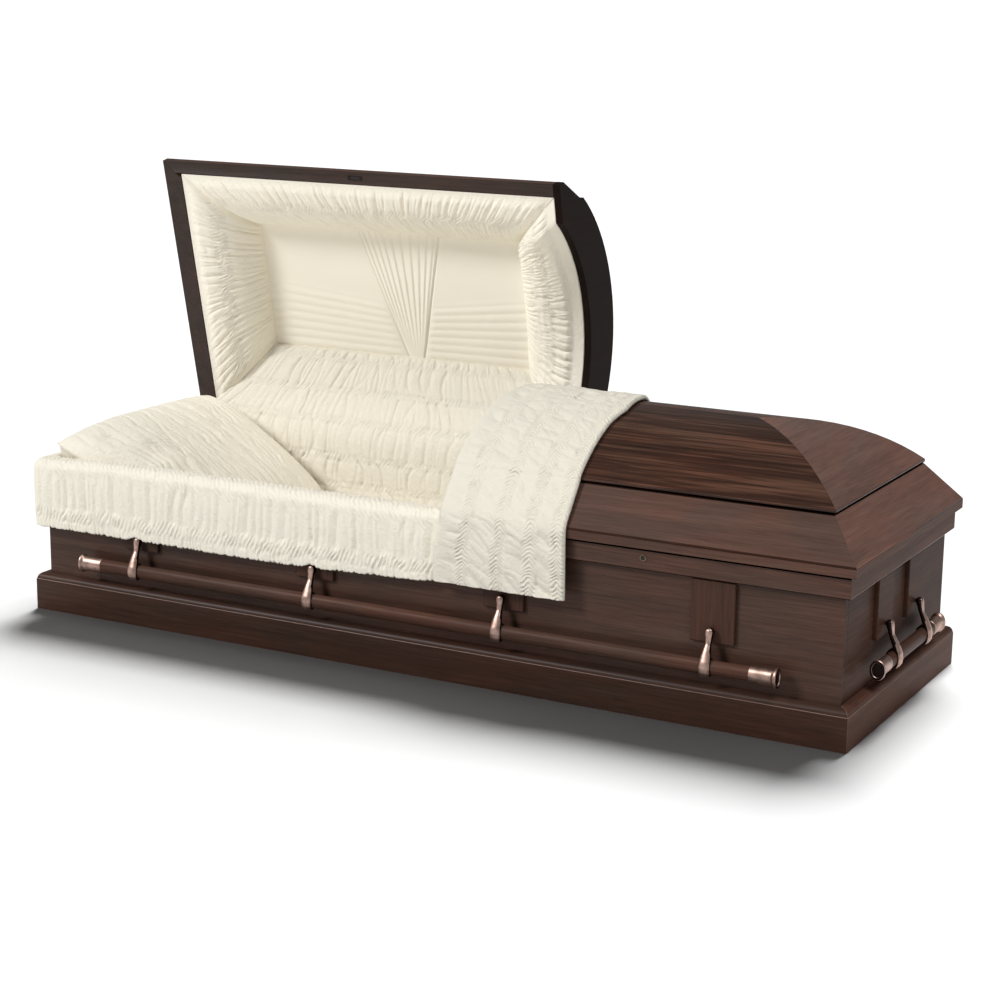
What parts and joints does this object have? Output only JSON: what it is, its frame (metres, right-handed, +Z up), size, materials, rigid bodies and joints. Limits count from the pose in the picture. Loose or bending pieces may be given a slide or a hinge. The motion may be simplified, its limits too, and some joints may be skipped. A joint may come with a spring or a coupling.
{
  "type": "funeral casket",
  "caption": "Half-couch wooden funeral casket with a hinged head lid open over a shirred cloth interior, a shut foot lid with a throw, and swing-bar handles.",
  "frame": {"origin": "centre of the flat underside", "axes": "+X along the casket towards the foot end, -Y the front with the apron, +Z up"},
  "size_m": [2.1638, 0.9015, 1.0675],
  "materials": {
    "stained_wood": "dark walnut stain, satin lacquer",
    "bar_wood": "dark walnut stain, satin lacquer",
    "antique_copper": "antique copper, brushed highlights",
    "hinge_brass": "dull brass",
    "crepe_cloth": "ivory crepe, shirred"
  },
  "bodies": {
    "root": {"base_front": "stained_wood", "base_back": "stained_wood", "base_head": "stained_wood", "base_foot": "stained_wood", "rail_front": "stained_wood", "rail_back": "stained_wood", "rail_head": "stained_wood", "rail_foot": "stained_wood", "side_front": "stained_wood", "side_back": "stained_wood", "end_head": "stained_wood", "end_foot": "stained_wood", "floor_board": "stained_wood", "wall_lining": "crepe_cloth", "mattress": "crepe_cloth", "pillow": "crepe_cloth", "front_apron": "crepe_cloth", "hinge_body": "hinge_brass", "front_plate_1": "stained_wood", "front_plate_2": "stained_wood", "front_plate_3": "stained_wood", "front_plate_4": "stained_wood", "back_plate_1": "stained_wood", "back_plate_2": "stained_wood", "back_plate_3": "stained_wood", "back_plate_4": "stained_wood", "foot_plate_1": "stained_wood", "foot_plate_2": "stained_wood", "head_plate_1": "stained_wood", "head_plate_2": "stained_wood"},
    "head_lid": {"head_lid_rim_front": "stained_wood", "head_lid_rim_back": "stained_wood", "head_lid_rim_end": "stained_wood", "head_lid_crown": "stained_wood", "head_lid_header": "stained_wood", "head_lid_lining": "crepe_cloth", "head_lid_hinge": "hinge_brass"},
    "foot_lid": {"foot_lid_rim_front": "stained_wood", "foot_lid_rim_back": "stained_wood", "foot_lid_rim_end": "stained_wood", "foot_lid_crown": "stained_wood", "foot_lid_header": "stained_wood", "foot_lid_lining": "crepe_cloth", "foot_lid_hinge": "hinge_brass", "overlay": "crepe_cloth"},
    "front_handle": {"front_bar": "bar_wood", "front_tip_1": "antique_copper", "front_tip_2": "antique_copper", "front_arm_1": "antique_copper", "front_arm_2": "antique_copper", "front_arm_3": "antique_copper", "front_arm_4": "antique_copper"},
    "foot_handle": {"foot_bar": "bar_wood", "foot_tip_1": "antique_copper", "foot_tip_2": "antique_copper", "foot_arm_1": "antique_copper", "foot_arm_2": "antique_copper"},
    "back_handle": {"back_handle": "bar_wood"},
    "head_handle": {"head_handle": "bar_wood"}
  },
  "joints": [
    {"name": "head_lid_turn", "type": "hinge", "parent": "root", "child": "head_lid", "pos_m": [0, 0.3525, 0.3672], "axis": [1, 0, 0], "range_deg": [0, 77.45], "deforming": ["pillow", "front_apron"]},
    {"name": "foot_lid_turn", "type": "hinge", "parent": "root", "child": "foot_lid", "pos_m": [0, 0.3525, 0.3672], "axis": [-1, 0, 0], "range_deg": [0, 77.45]},
    {"name": "front_handle_swing", "type": "hinge", "parent": "root", "child": "front_handle", "pos_m": [0, -0.3525, 0.212], "axis": [-1, 0, 0], "range_deg": [0, 80]},
    {"name": "back_handle_swing", "type": "hinge", "parent": "root", "child": "back_handle", "pos_m": [0, 0.3525, 0.212], "axis": [1, 0, 0], "range_deg": [0, 80]},
    {"name": "foot_handle_swing", "type": "hinge", "parent": "root", "child": "foot_handle", "pos_m": [1.049, 0, 0.212], "axis": [0, -1, 0], "range_deg": [0, 80]},
    {"name": "head_handle_swing", "type": "hinge", "parent": "root", "child": "head_handle", "pos_m": [-1.049, 0, 0.212], "axis": [0, 1, 0], "range_deg": [0, 80]}
  ]
}
